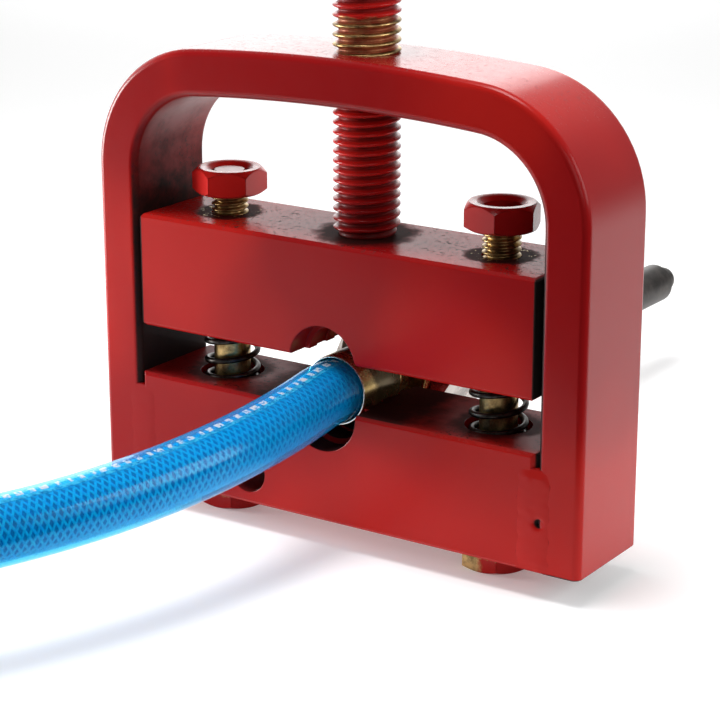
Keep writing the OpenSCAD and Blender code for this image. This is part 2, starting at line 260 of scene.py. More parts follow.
def grime_mask(s, dirt, black):
    """Patches of fine specks, on faces that look up and wherever the enamel is black."""
    specks = s.step(s.noise(1100.0, 4.0, 0.70), 0.555, 0.62)
    patches = s.step(s.noise(60.0, 3.0, 0.6), 0.38, 0.58)
    where = s.math("MAXIMUM", s.product(s.up(), dirt), black)
    return s.product(s.product(specks, where), s.blend(patches, 0.25, 1.0))


def enamel_gloss(s, dull, coated, black, top_gloss):
    """Mirror strength of the enamel. It is low on faces turned to the camera, so that they stay red, and
    set by top_gloss on faces seen nearly edge on, such as the tops."""
    front_gloss, slanted_gloss, coat = 0.13, 0.32, 0.04
    slant = s.facing()
    top = s.step(slant, 0.55, 0.68)
    gloss = s.blend(s.step(slant, 0.30, 0.48), front_gloss, s.blend(top, slanted_gloss, top_gloss))
    s.set("Specular IOR Level", s.product(s.product(gloss, dull), s.blend(black, 1.0, 0.4)))
    s.set("Coat Weight", s.product(s.product(coated, coat), s.invert(top)))
    s.set("Coat Roughness", 0.12)


def enamel(name, dirt=0.0, bare=None, grease_and_shade=None, shade=None, bright=RED_BRIGHT, top_gloss=0.32):
    """Glossy red enamel with specks of dirt. The masks are functions of the shader: bare shows metal,
    the black mask blackens the red for grease and for painted shade, and shade deepens the red as painted
    shade."""
    s = Shader(name)
    fine = s.noise(420.0, 4.0, 0.6)
    deep = s.step(s.noise(24.0, 1.0), 0.62, 0.36)
    # shade adds painted shade to the deeper red
    if shade:
        deep = s.math("MAXIMUM", deep, shade(s))
    red = s.mix(deep, bright, RED_DEEP)
    edge = s.product(s.step(s.edges(0.5), 0.02, 0.14), s.blend(s.step(fine, 0.35, 0.6), 0.45, 0.8))
    red = s.mix(edge, red, RED_EDGE)
    # Grease and painted shade, both painted black over the red
    black = grease_and_shade(s) if grease_and_shade else 0.0
    grime = grime_mask(s, dirt, black)
    stray = s.product(s.step(s.noise(640.0, 4.0, 0.7), 0.77, 0.80), 0.4)
    colour = s.mix(s.math("MAXIMUM", grime, stray), red, DIRT)
    colour = s.mix(black, colour, GREASE_AND_SHADE_BLACK)
    rough = s.math("ADD", s.product(fine, 0.12), 0.18)
    rough = s.math("ADD", rough, s.product(s.math("MAXIMUM", grime, black), 0.4))
    dull = s.invert(edge)
    coated = dull
    if bare:
        mask = bare(s, fine)
        steel = s.mix(s.step(s.noise(300.0, 5.0, 0.7), 0.35, 0.65), ZINC_DARK, ZINC_LIGHT)
        colour = s.mix(mask, colour, steel)
        rough = s.blend(mask, rough, 0.36)
        coated = s.product(dull, s.invert(mask))
        s.set("Metallic", mask)
    s.set("Base Color", colour)
    s.set("Roughness", rough)
    enamel_gloss(s, dull, coated, black, top_gloss)
    peel = s.math("ADD", s.product(s.noise(700.0, 2.0), 0.10), s.noise(70.0, 1.0))
    s.bump(s.math("ADD", peel, s.product(grime, 0.5)), 0.06, 0.25)
    return s.material


def ragged_mm(s, amount_mm):
    """Uneven offset in mm that breaks up the edge of a mask."""
    return s.product(s.math("SUBTRACT", s.noise(180.0, 4.0, 0.65), 0.5), 2 * amount_mm)


def ragged_by(s, fine, amount_mm):
    """The same, from a noise that the material already has."""
    return s.product(s.math("SUBTRACT", fine, 0.5), amount_mm)


def jaw_spots(s, fine):
    """Bright scratches in the bare rings round the guide bolts on the top of the upper jaw."""
    ring = s.step(s.radius_from(BOLT_X, 0, mirrored=True), 7.2, 6.6)
    scratch = s.step(s.noise(800.0, 3.0, 0.6), 0.62, 0.68)
    return s.product(s.product(ring, s.up()), scratch)


def screw_band(s, fine):
    """Crests that wear has stripped of paint on a stretch of thread just above the frame."""
    height = s.math("ADD", s.height_mm(), ragged_by(s, fine, 3.0))
    above = s.step(height, BAND_Z[0] - 0.4, BAND_Z[0] + 0.4)
    below = s.step(height, BAND_Z[1] + 0.4, BAND_Z[1] - 0.4)
    crest = s.step(s.radius_from(SCREW_X, 0), SCREW_R - 0.75, SCREW_R - 0.45)
    return s.product(s.product(above, below), s.blend(crest, 0.35, 1.0))


def root_darkening(s):
    """Darkens the roots of the press screw's thread, below its head."""
    root = s.step(s.radius_from(SCREW_X, 0), SCREW_R - 0.35, SCREW_R - 1.1)
    head_low = SCREW_HIGH.z - SCREW_HEAD_H
    below_head = s.step(s.height_mm(), head_low + 0.2, head_low - 0.2)
    return s.product(s.product(root, below_head), 0.55)


def bolt_bare(s, fine):
    """A guide bolt's shank and thread, and the left half of the right bolt's head."""
    ragged = ragged_by(s, fine, 4.0)
    height = s.math("ADD", s.height_mm(), ragged)
    below_tip = s.step(height, BOLT_TOP_Z - 0.6, BOLT_TOP_Z - 1.8)
    shank = s.product(s.step(height, -2.6, -1.4), below_tip)
    from_bolt = s.math("ADD", s.math("SUBTRACT", s.across_mm(), BOLT_X), ragged)
    left_half = s.product(s.step(from_bolt, 0.6, -0.6), s.step(height, 0.5, -0.5))
    right_bolt = s.step(s.across_mm(), 0, 1)
    return s.math("MAXIMUM", shank, s.product(left_half, right_bolt))


def leg_painted_shade(s):
    """Painted shade on the inner faces of the legs: nearly black low down and lighter towards the top bar.
    """
    normal = s.split(s.normal())
    outward = s.product(normal[0], s.math("SIGN", s.across_mm()))
    inside = s.step(s.math("MINIMUM", outward, normal[2]), -0.25, -0.6)
    low = s.step(s.math("ADD", s.height_mm(), ragged_mm(s, 14)), 84.0, 58.0)
    return s.product(inside, s.blend(low, 0.25, 0.97))


def bar_shade(s):
    """Painted shade: the left and middle of the top bar are painted a deeper red than the legs."""
    left_and_middle = s.product(s.step(s.off_centre_mm(), 52.0, 34.0), s.step(s.across_mm(), 36.0, 8.0))
    return s.product(left_and_middle, s.step(s.height_mm(), 84.0, 90.0))


def lower_grease_and_shade(s):
    """Grease and painted shade on the top of the lower jaw, which lies under the upper jaw: black beside
    the die and round the springs. Its ends are black as painted shade in the gaps beside the legs.
    """
    from_die = s.math("ABSOLUTE", s.math("SUBTRACT", s.across_mm(), DIE_X))
    near_die_shade = s.step(s.math("ADD", from_die, ragged_mm(s, 8)), 27.0, 15.0)
    from_bolt = s.math("ADD", s.radius_from(BOLT_X, 0, mirrored=True), ragged_mm(s, 4))
    near_spring = s.product(s.step(from_bolt, 11.0, 7.5), 0.8)
    film = s.blend(s.math("MAXIMUM", near_die_shade, near_spring), 0.30, 0.93)
    ends = s.step(s.off_centre_mm(), INNER_HALF - 0.9, INNER_HALF - 0.5)
    return s.math("MAXIMUM", s.product(film, s.up()), ends)


def upper_grease_and_shade(s):
    """Black ends of the upper jaw as painted shade in the gaps beside the legs, and grease round the bolts
    and the screw's foot.
    """
    ends = s.step(s.off_centre_mm(), UPPER_HIGH.x - 0.6, UPPER_HIGH.x - 0.2)
    from_bolt = s.math("ADD", s.radius_from(BOLT_X, 0, mirrored=True), ragged_mm(s, 2.5))
    from_screw = s.math("ADD", s.radius_from(SCREW_X, 0), ragged_mm(s, 4))
    grease = s.math("MAXIMUM", s.step(from_bolt, 8.2, 6.6), s.step(from_screw, 12.5, 8.5))
    return s.math("MAXIMUM", s.product(s.product(grease, s.up()), 0.9), ends)


def weld_pinhole_shade(s):
    """Painted shade: the pinhole in the front of the right weld is painted black."""
    dx = s.math("SUBTRACT", s.across_mm(), PINHOLE[0])
    dz = s.math("SUBTRACT", s.height_mm(), PINHOLE[1])
    square = s.math("ADD", s.product(dx, dx), s.product(dz, dz))
    front = s.step(s.along_mm(), 0.0, -1.0)
    return s.product(s.step(s.math("SQRT", square), 1.15, 0.75), front)


def metal(name, light, dark, rough=0.3, grain=240.0, shine=1.0, darken=None, rim=None):
    """Worn metal: mottled colour, bright edges, patches of dirt. Two masks are functions of
    the shader: the first darkens the metal, and rim shows it bare and bright."""
    s = Shader(name)
    mottle = s.noise(grain, 5.0, 0.65)
    tone = s.mix(s.step(mottle, 0.32, 0.68), dark, light)
    worn = s.product(s.step(s.edges(0.35), 0.02, 0.2), s.step(mottle, 0.35, 0.6))
    tone = s.mix(s.product(worn, 0.5), tone, tuple(min(1.0, c * 1.5) for c in light))
    soil_and_darkening = s.product(s.step(s.noise(grain * 3, 4.0, 0.7), 0.56, 0.70), 0.5)
    if darken:
        soil_and_darkening = s.math("MAXIMUM", soil_and_darkening, darken(s))
    if rim:
        tone = s.mix(rim(s), tone, BARE_RIM)
    s.set("Base Color", s.mix(soil_and_darkening, tone, tuple(c * 0.25 for c in dark)))
    s.set("Metallic", s.math("SUBTRACT", shine, s.product(soil_and_darkening, 0.4)))
    s.set("Roughness", s.math("ADD", s.product(mottle, 0.25), rough - 0.1))
    s.bump(s.noise(grain * 5, 3.0), 0.12, 0.1)
    return s.material


def ferrule_dark_back(s):
    """Darkens the ferrule behind its clean front."""
    clean_l, fade_l = 3.0, 3.0
    y = s.math("ADD", s.along_mm(), ragged_mm(s, 3))
    return s.product(s.step(y, FERRULE_LOW.y + clean_l, FERRULE_LOW.y + clean_l + fade_l), 0.95)


def ferrule_rim(s):
    """The bright cut edge of the ferrule."""
    return s.step(s.along_mm(), FERRULE_LOW.y + 0.35, FERRULE_LOW.y + 0.15)


def dash_row(s):
    """A row of plain dashes of uneven length and wear, printed along the upper side of the hose."""
    pitch_mm, line_turn, half_width = 2.6, 0.262, 0.018
    shortest, spread = 0.2, 0.5
    along, around, _ = s.split(s.coords("UV"))
    count = s.math("DIVIDE", along, pitch_mm * MM)
    scatter = s.math("FRACT", s.product(s.math("SINE", s.product(s.math("FLOOR", count), 12.9898)), 43.7))
    length = s.math("ADD", s.product(s.math("ABSOLUTE", scatter), spread), shortest)
    dash = s.math("LESS_THAN", s.math("FRACT", count), length)
    off_line = s.math("ABSOLUTE", s.math("SUBTRACT", around, line_turn))
    row = s.product(dash, s.step(off_line, half_width + 0.001, half_width - 0.001))
    worn = s.blend(s.step(s.noise(1500.0, 3.0, 0.6), 0.36, 0.52), 0.2, 1.0)
    return s.product(row, worn)


def clear_cover():
    """Tinted clear PVC that lets more light through where it is looked at straight on."""
    s = Shader("clear_cover")
    dashes = dash_row(s)
    blue = s.mix(s.noise(60.0, 3.0), (0.0, 0.37, 0.90), (0.006, 0.50, 1.0))
    s.set("Base Color", s.mix(dashes, blue, (0.58, 0.70, 0.82)))
    s.set("Roughness", s.math("ADD", s.product(s.noise(500.0, 3.0), 0.14), 0.10))
    s.set("Coat Weight", 0.6)
    s.set("Coat Roughness", 0.07)
    s.set("IOR", 1.5)
    density = s.math("ADD", s.product(s.facing(0.35), 0.5), 0.16)
    density = s.math("MAXIMUM", density, dashes)
    clear = s.node("ShaderNodeBsdfTransparent", {0: (0.34, 0.93, 1.0, 1.0)}).outputs[0]
    mixed = s.node("ShaderNodeMixShader", {0: density, 1: clear, 2: s.bsdf.outputs[0]}).outputs[0]
    s.put(s.output.inputs["Surface"], mixed)
    ripple = s.math("ADD", s.noise(260.0, 2.0), s.product(s.noise(1500.0, 2.0), 0.15))
    s.bump(ripple, 0.16, 0.25)
    return s.material


def plastic(name, light, dark, rough, scale, near_die_shade=None):
    """Plain plastic or yarn with mottled colour, which may be darkened towards the die as painted shade.
    """
    s = Shader(name)
    mottle = s.noise(scale, 3.0, 0.6)
    colour = s.mix(s.step(mottle, 0.3, 0.7), dark, light)
    if near_die_shade:
        colour = s.mix(s.step(s.along_mm(), -80.0, -12.0), colour, near_die_shade)
    s.set("Base Color", colour)
    s.set("Roughness", s.math("ADD", s.product(mottle, 0.2), rough))
    s.bump(s.noise(scale * 4, 2.0), 0.2, 0.08)
    return s.material


def floor_paper():
    s = Shader("floor_paper")
    s.set("Base Color", s.mix(s.noise(9.0, 3.0), (0.90, 0.90, 0.90), (0.93, 0.93, 0.93)))
    s.set("Roughness", s.math("ADD", s.product(s.noise(30.0, 2.0), 0.1), 0.8))
    s.set("Specular IOR Level", 0.1)
    s.set("Emission Color", (1.0, 1.0, 1.0, 1.0))
    s.set("Emission Strength", 0.22)
    s.bump(s.noise(900.0, 2.0), 0.04, 0.1)
    return s.material


def black_cloth():
    s = Shader("black_cloth")
    s.set("Base Color", s.mix(s.noise(40.0), (0.01, 0.01, 0.01), (0.02, 0.02, 0.02)))
    s.set("Roughness", 0.9)
    s.set("Specular IOR Level", 0.0)
    return s.material


# ---- Mesh helpers: shapes are given in millimetres ----

# Radius of the hair-thin bore that closes a solid turned shape
NEEDLE = 0.02


def make_piece(name, points, faces, material, sharp_deg=38):
    mesh = bpy.data.meshes.new(name)
    mesh.from_pydata([Vector(p) * MM for p in points], [], faces)
    bm = bmesh.new()
    bm.from_mesh(mesh)
    bmesh.ops.recalc_face_normals(bm, faces=bm.faces)
    bm.to_mesh(mesh)
    bm.free()
    mesh.shade_smooth()
    mesh.set_sharp_from_angle(angle=math.radians(sharp_deg))
    mesh.materials.append(material)
    piece = bpy.data.objects.new(name, mesh)
    bpy.context.collection.objects.link(piece)
    return piece


def skin(rings, closed=False, caps=True):
    """Points and faces of a surface through rings that all have the same number of points."""
    count = len(rings[0])
    points = [p for ring in rings for p in ring]
    last = len(rings) if closed else len(rings) - 1
    faces = []
    for i in range(last):
        a, b = i * count, (i + 1) % len(rings) * count
        for j in range(count):
            k = (j + 1) % count
            faces.append((a + j, a + k, b + k, b + j))
    if caps and not closed:
        faces.append(tuple(range(count)))
        faces.append(tuple(range((len(rings) - 1) * count, len(rings) * count)))
    return points, faces


def turned(outline, segments=96):
    """Rings of a turned shape about +Z from (radius, z) pairs; the outline closes on itself."""
    return [[(r * math.cos(TURN * j / segments), r * math.sin(TURN * j / segments), z)
             for j in range(segments)] for r, z in outline]


def rounded(outline, radius, steps=3):
    """Replaces each corner of an outline by a small arc-like run of points."""
    result = []
    count = len(outline)
    for i, point in enumerate(outline):
        here = Vector(point)
        before = Vector(outline[i - 1])
        after = Vector(outline[(i + 1) % count])
        reach = min(radius, (before - here).length * 0.45, (after - here).length * 0.45)
        start = here + (before - here).normalized() * reach
        end = here + (after - here).normalized() * reach
        for k in range(steps + 1):
            t = k / steps
            result.append((1 - t) ** 2 * start + 2 * t * (1 - t) * here + t * t * end)
    return result


def join_shapes(*shapes):
    """One list of points and faces from several closed shells."""
    points, faces = [], []
    for shape_points, shape_faces in shapes:
        faces += [tuple(i + len(points) for i in face) for face in shape_faces]
        points += list(shape_points)
    return points, faces


def placed(shape, matrix):
    points, faces = shape
    return [matrix @ Vector(p) for p in points], faces


# Lays a shape that was turned about +Z along +Y on the axis of the die
ALONG_DIE = Matrix.Translation((DIE_X, 0, DIE_Z)) @ Matrix.Rotation(-math.pi / 2, 4, "X")


def flank(phase):
    """Height of a thread at this share of its pitch: rounded crest and root."""
    flat_share = 0.10
    ridge = 1 - abs(2 * (phase % 1) - 1)
    t = min(1.0, max(0.0, (ridge - flat_share) / (1 - 2 * flat_share)))
    return t * t * (3 - 2 * t)


def thread_shape(radius, pitch, low, high, segments, per_pitch):
    """Rings of a right-hand thread about +Z from low to high, fading in and out at its ends."""
    depth = 0.61 * pitch
    fade = 0.8
    count = max(2, round((high - low) / pitch * per_pitch))
    rings = []
    for i in range(count + 1):
        z = low + (high - low) * i / count
        ramp = min(1.0, (z - low) / (fade * pitch), (high - z) / (fade * pitch))
        ring = []
        for j in range(segments):
            lift = flank(z / pitch - j / segments)
            r = radius - depth * (1 - lift * ramp)
            ring.append((r * math.cos(TURN * j / segments), r * math.sin(TURN * j / segments), z))
        rings.append(ring)
    return rings


def hex_radius(angle, flat):
    """Distance from the middle of a hexagon to its outline; a corner lies at angle 0."""
    sector = TURN / 6
    return flat / 2 / math.cos(angle % sector - sector / 2)


def hex_shape(flat, low, high, inside=None, turn=0.0, slope=0.6, top_slope=0.5):
    """Hexagonal nut or head with chamfered corners. The slopes are those of the lower and upper chamfer,
    and inside lists (radius, z) down the bore from the top."""
    segments = 144
    rim = flat / 2 * 0.965
    dish = 0.04
    inside = inside or [(NEEDLE, high), (NEEDLE, low)]
    rings = []

    def ring(radius, height):
        points = []
        for j in range(segments):
            a = TURN * j / segments
            r = radius(a)
            points.append((r * math.cos(a + turn), r * math.sin(a + turn), height(r)))
        rings.append(points)

    def corner(share):
        return lambda a: rim + (hex_radius(a, flat) - rim) * share - dish * (1 - share)

    ring(lambda a: rim, lambda r: low)
    for share in (0.25, 0.6, 1.0):
        ring(corner(share), lambda r: low + max(0.0, r - rim) * slope)
    for share in (1.0, 0.6, 0.25):
        ring(corner(share), lambda r: high - max(0.0, r - rim) * top_slope)
    ring(lambda a: rim, lambda r: high)
    for bore_r, z in inside:
        ring(lambda a: bore_r, lambda r: z)
    return skin(rings, closed=True, caps=False)


def flat_faces(piece):
    """Keeps broad faces flat in the shading; only narrow ones between them look round."""
    flats = piece.modifiers.new("flats", "WEIGHTED_NORMAL")
    flats.keep_sharp = True
    flats.weight = 100


def cad_object(node):
    for candidate in bpy.data.objects:
        if candidate.get("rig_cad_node") == node:
            return candidate
    raise KeyError(node)


def softened(node, piece_name, width_mm, material):
    """Copy of a CAD node with clean flats and rounded edges, shown in its place."""
    sharp = math.radians(28)
    mesh = cad_object(node).data.copy()
    mesh.name = piece_name
    bm = bmesh.new()
    bm.from_mesh(mesh)
    bmesh.ops.remove_doubles(bm, verts=bm.verts, dist=0.002 * MM)
    bmesh.ops.dissolve_limit(bm, angle_limit=math.radians(0.6), verts=bm.verts, edges=bm.edges)
    bmesh.ops.recalc_face_normals(bm, faces=bm.faces)
    bm.to_mesh(mesh)
    bm.free()
    piece = bpy.data.objects.new(piece_name, mesh)
    bpy.context.collection.objects.link(piece)
    bevel = piece.modifiers.new("edges", "BEVEL")
    bevel.width = width_mm * MM
    bevel.segments = 3
    bevel.limit_method = "ANGLE"
    bevel.angle_limit = sharp
    flat_faces(piece)
    mesh.materials.clear()
    mesh.materials.append(material)
    mesh.shade_smooth()
    mesh.set_sharp_from_angle(angle=sharp)
    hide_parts(node)
    return piece


def show(name, shape, material, body, node, sharp_deg=38):
    """Makes a piece that moves with a body and is shown in place of one CAD node."""
    piece = make_piece(name, shape[0], shape[1], material, sharp_deg)
    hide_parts(node)
    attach(piece, body)
    return piece


# ---- Press ----

def bar_section(inset=0.0):
    """Section of the bent bar with rounded edges: (distance from its inner face, y) pairs."""
    bevel, edge_r = 1.0, 0.8
    low, high = inset, BAR_T - inset
    front, back = FRAME_LOW.y + inset, BACK_Y - inset
    front_half = [(low, front + bevel), (low + bevel, front), (high - bevel, front), (high, front + bevel)]
    back_half = [(high, back - bevel), (high - bevel, back), (low + bevel, back), (low, back - bevel)]
    return rounded(front_half + back_half, edge_r)


def bar_path():
    """Stations up the right leg, over the arched top and down the left one: (x, z, outward angle)."""
    inner_r = SHOULDER_R - BAR_T
    arm = CROWN_R - inner_r
    bend_x = INNER_HALF - inner_r
    tilt = math.asin(bend_x / arm)
    crown_z = FRAME_HIGH.z - BAR_T - CROWN_R
    bend_z = crown_z + arm * math.cos(tilt)
    shoulder_steps, crown_steps = 18, 16
    half = []
    for i in range(shoulder_steps + 1):
        a = (math.pi / 2 - tilt) * i / shoulder_steps
        half.append((bend_x + inner_r * math.cos(a), bend_z + inner_r * math.sin(a), a))
    for i in range(1, crown_steps + 1):
        a = math.pi / 2 - tilt + tilt * i / crown_steps
        half.append((CROWN_R * math.cos(a), crown_z + CROWN_R * math.sin(a), a))
    return half + [(-x, z, math.pi - a) for x, z, a in reversed(half[:-1])]


def frame_bar(paint):
    """The bent bar: one section carried along its path, with softened leg ends."""
    soft = 0.4

    def ring(station, section):
        x, z, a = station
        return [(x + out * math.cos(a), y, z + out * math.sin(a)) for out, y in section]

    right_foot = [((INNER_HALF, FRAME_LOW.z + up, 0.0), bar_section(soft - up)) for up in (0.0, soft)]
    left_foot = [((-x, z, math.pi - a), section) for (x, z, a), section in reversed(right_foot)]
    stations = right_foot + [(station, bar_section()) for station in bar_path()] + left_foot
    shape = skin([ring(station, section) for station, section in stations])
    piece = show("frame_bar", shape, paint, "press_body", "frame")
    flat_faces(piece)


def press_blocks():
    frame_bar(enamel("enamel_frame", dirt=0.3, grease_and_shade=leg_painted_shade, shade=bar_shade, top_gloss=0.42))
    paints = {
        "lower_jaw": enamel("enamel_lower", dirt=1.0, grease_and_shade=lower_grease_and_shade, top_gloss=0.035),
        "upper_jaw": enamel("enamel_upper", dirt=1.0, bare=jaw_spots, grease_and_shade=upper_grease_and_shade, top_gloss=0.035)}
    for node, paint in paints.items():
        piece = softened(node, node + "_body", 0.3, paint)
        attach(piece, "upper_jaw" if node == "upper_jaw" else "press_body")


def weld_patch(low_z, high_z, rise, lumps, pits):
    """Soft, uneven patch over a corner groove, in (x from the groove, height out of the face, z).
    Lumps and pits are (x, z, reach, height)."""
    columns, rows = 26, 64
    jaw_side, leg_side = -4.4, 3.2
    sunk, depth, end_fade = 0.06, 1.6, 2.0
    sheet = []
    for i in range(rows + 1):
        z = low_z + (high_z - low_z) * i / rows
        wobble = 0.2 * math.sin(1.1 * z) + 0.12 * math.sin(2.7 * z + 1)
        end = min(1.0, (z - low_z) / end_fade, (high_z - z) / end_fade)
        row = []
        for j in range(columns + 1):
            x = jaw_side + (leg_side - jaw_side) * j / columns
            across = abs(2 * (x - wobble - jaw_side) / (leg_side - jaw_side) - 1)
            total = (rise * max(0.0, 1 - across ** 3) * end) ** 2
            for at_x, at_z, reach, lift in lumps:
                near = max(0.0, 1 - ((x - at_x) ** 2 + (z - at_z) ** 2) / reach ** 2)
                total += (lift * near) ** 2
            height = math.sqrt(total) - sunk
            for at_x, at_z, reach, sink in pits:
                height -= sink * math.exp(-((x - at_x) ** 2 + (z - at_z) ** 2) / reach ** 2)
            row.append((x, height, z))
        sheet.append(row + [(x, -depth, z) for x, _, _ in reversed(row)])
    return skin(sheet)


def weld_beads():
    """Front and back welds over the corner grooves, nearly flush on the left and lumpy on the right."""
    bottom_gap, overshoot = 0.25, 0.3
    pit_reach, pit_depth = 0.8, 1.2
    paint = enamel("enamel_weld", dirt=0.3, grease_and_shade=weld_pinhole_shade)
    for node, side, rise in (("weld_left", -1, 0.14), ("weld_right", 1, 0.30)):
        low, high = mm_box(node)
        shapes = []
        for face in (-1, 1):
            lumps = []
            z = low.z + 2.0
            while z < high.z - 1.6:
                across, reach = DICE.uniform(-2.6, 1.0), DICE.uniform(1.0, 2.2)
                lumps.append((across, z, reach, rise * DICE.uniform(0.3, 0.9)))
                z += DICE.uniform(0.8, 1.8)
            pits = []
            if side > 0 and face < 0:
                pits.append((PINHOLE[0] - INNER_HALF, PINHOLE[1], pit_reach, pit_depth))
            points, faces = weld_patch(low.z + bottom_gap, high.z + overshoot, rise, lumps, pits)
            points = [(side * (INNER_HALF + x), face * (BACK_Y + out), z) for x, out, z in points]
            shapes.append((points, faces))
        show(node + "_bead", join_shapes(*shapes), paint, "press_body", node, sharp_deg=70)


def press_screw():
    """Full-thread screw with a dog point and a hexagonal head."""
    lift = 0.02
    foot = UPPER_HIGH.z + lift
    head_low = SCREW_HIGH.z - SCREW_HEAD_H
    # The dog point is 0.1 mm looser than in the CAD, so that its facets turn freely in the faceted hole
    dog_r = 4.65
    core_r, core_l = 5.7, 2.0
    outline = [(NEEDLE, SCREW_LOW.z), (dog_r, SCREW_LOW.z), (dog_r, foot), (core_r, foot),
               (core_r, foot + core_l), (NEEDLE, foot + core_l)]
    dog = skin(turned(rounded(outline, 0.4), 48), closed=True)
    thread = thread_shape(SCREW_R, SCREW_PITCH, foot + lift, head_low + 0.4, segments=72, per_pitch=14)
    head = hex_shape(SCREW_HEAD_FLATS, head_low, SCREW_HIGH.z)
    shape = placed(join_shapes(dog, skin(thread), head), Matrix.Translation((SCREW_X, 0, 0)))
    # The screw gets the brighter red of painted light
    paint = enamel("enamel_screw", dirt=0.2, bare=screw_band, grease_and_shade=root_darkening, bright=RED_LIT)
    show("press_screw_thread", shape, paint, "press_screw", "press_screw", sharp_deg=50)


def guide_bolts():
    """Bolts from below: painted head, plain shank through the gap, thread above the upper jaw."""
    steel = enamel("zinc_bolt", bare=bolt_bare)
    thread_low, thread_lap = 48.0, 0.5
    shank_low = -1.0
    for node, side in (("guide_bolt_left", -1), ("guide_bolt_right", 1)):
        low, high = mm_box(node)
        outline = [(NEEDLE, shank_low), (BOLT_R, shank_low), (BOLT_R, thread_low), (NEEDLE, thread_low)]
        shank = skin(turned(outline, 48), closed=True)
        thread_from = thread_low - thread_lap
        thread = thread_shape(BOLT_R, BOLT_PITCH, thread_from, high.z, segments=48, per_pitch=12)
        head = hex_shape(BOLT_FLATS, low.z, -0.02)
        shape = placed(join_shapes(shank, skin(thread), head), Matrix.Translation((side * BOLT_X, 0, 0)))
        show(node + "_threaded", shape, steel, "press_body", node, sharp_deg=50)


def stop_nuts():
    """Nuts with a dished top, each turned to its own angle."""
    mouth_r, dish_r, bore_r, foot_r = 5.3, 4.9, 4.1, 4.4
    # The nuts get the brighter red of painted light
    paint = enamel("enamel_nut", dirt=0.3, bright=RED_LIT)
    for node, side, turn_deg in (("stop_nut_left", -1, -28), ("stop_nut_right", 1, -11)):
        low, high = mm_box(node)
        mouth = [(mouth_r, high.z), (dish_r, high.z - 0.3), (bore_r, high.z - 1.0),
                 (bore_r, low.z + 0.3), (foot_r, low.z)]
        body = hex_shape(BOLT_FLATS, low.z, high.z, mouth, turn=math.radians(turn_deg), top_slope=1.0)
        shape = placed(body, Matrix.Translation((side * BOLT_X, 0, 0)))
        show(node + "_hex", shape, paint, node, node)


def springs():
    """Coil springs round the guide bolts."""
    wire = metal("spring_wire", (0.075, 0.07, 0.065), (0.02, 0.018, 0.016), 0.34, 500.0)
    coils, wire_r, coil_r = 4.5, 0.65, 5.55
    sides, steps = 12, 40
    # Share of the pitch that is taken from the end coils, which lie closer together
    close = 0.6
    for node, side in (("spring_left", -1), ("spring_right", 1)):
        low, high = mm_box(node)
        rise = high.z - low.z - 2 * wire_r
        total = round(coils * steps)
        rings = []
        for i in range(total + 1):
            t = i / total
            a = TURN * coils * t
            z = low.z + wire_r + rise * ((1 - close) * t + close * t * t * (3 - 2 * t))
            ring = []
            for k in range(sides):
                around = TURN * k / sides
                r, rise_k = coil_r + wire_r * math.cos(around), wire_r * math.sin(around)
                ring.append((r * math.cos(a) + side * BOLT_X, r * math.sin(a), z + rise_k))
            rings.append(ring)
        points, faces = skin(rings)
        piece = make_piece(node + "_coil", points, faces, wire)
        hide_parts(node)
        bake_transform(piece)


# ---- Hose ----

HOSE_R = 6.8
COVER_T = 0.9
LINER_R = 5.24
BRAID_R = 5.58
LINER_BORE_R = 3.98
HOSE_SIDES = 72
HOSE_END_Y = FERRULE_HIGH.y - 1.2
STRAIGHT_L = HOSE_END_Y - FERRULE_LOW.y + 2.4

# Stretches of the hose from its end in the ferrule: length of a straight one, or radius, angle and
# direction of a bend in degrees, where 0 bends to the left and 90 downwards
STRETCHES = ((STRAIGHT_L, None, 0.0, 0.0),
             (0.0, 32.0, 8.0, 90.0),
             (1.0, None, 0.0, 0.0),
             (0.0, 185.0, 30.0, -14.0))


def hose_line():
    """Stations of the hose's centre line: (place, direction, side vector, distance)."""
    longest_step = 0.6
    place = Vector((DIE_X, HOSE_END_Y, DIE_Z))
    ahead, left, down = Vector((0, -1, 0)), Vector((-1, 0, 0)), Vector((0, 0, -1))
    done = 0.0
    stations = [(place, ahead, left, done)]
    for length, bend_r, angle, roll in STRETCHES:
        axis = ahead
        if bend_r:
            length = bend_r * math.radians(angle)
            towards = left * math.cos(math.radians(roll)) + down * math.sin(math.radians(roll))
            axis = ahead.cross(towards).normalized()
        count = max(1, math.ceil(length / longest_step))
        step = length / count
        half_turn = Matrix.Rotation(step / bend_r / 2 if bend_r else 0.0, 3, axis)
        for _ in range(count):
            ahead, left, down = half_turn @ ahead, half_turn @ left, half_turn @ down
            place = place + ahead * step
            ahead, left, down = half_turn @ ahead, half_turn @ left, half_turn @ down
            done += step
            stations.append((place, ahead, left, done))
    return stations


STATIONS = hose_line()


def hose_point(station, angle, radius):
    place, ahead, left, _ = station
    upward = left.cross(ahead)
    return place + (left * math.cos(angle) + upward * math.sin(angle)) * radius


def hose_tube(outer, inner):
    """Tube along the hose with softened rims at both ends."""
    lip = 0.25

    def ring(station, radius):
        return [hose_point(station, TURN * k / HOSE_SIDES, radius) for k in range(HOSE_SIDES)]

    first, last = STATIONS[0], STATIONS[-1]
    between = STATIONS[1:-1]
    rings = [ring(first, radius) for radius in (outer - lip, outer)]
    rings += [ring(station, outer) for station in between]
    rings += [ring(last, radius) for radius in (outer, outer - lip, inner + lip, inner)]
    rings += [ring(station, inner) for station in reversed(between)]
    rings.append(ring(first, inner))
    return skin(rings, closed=True, caps=False)


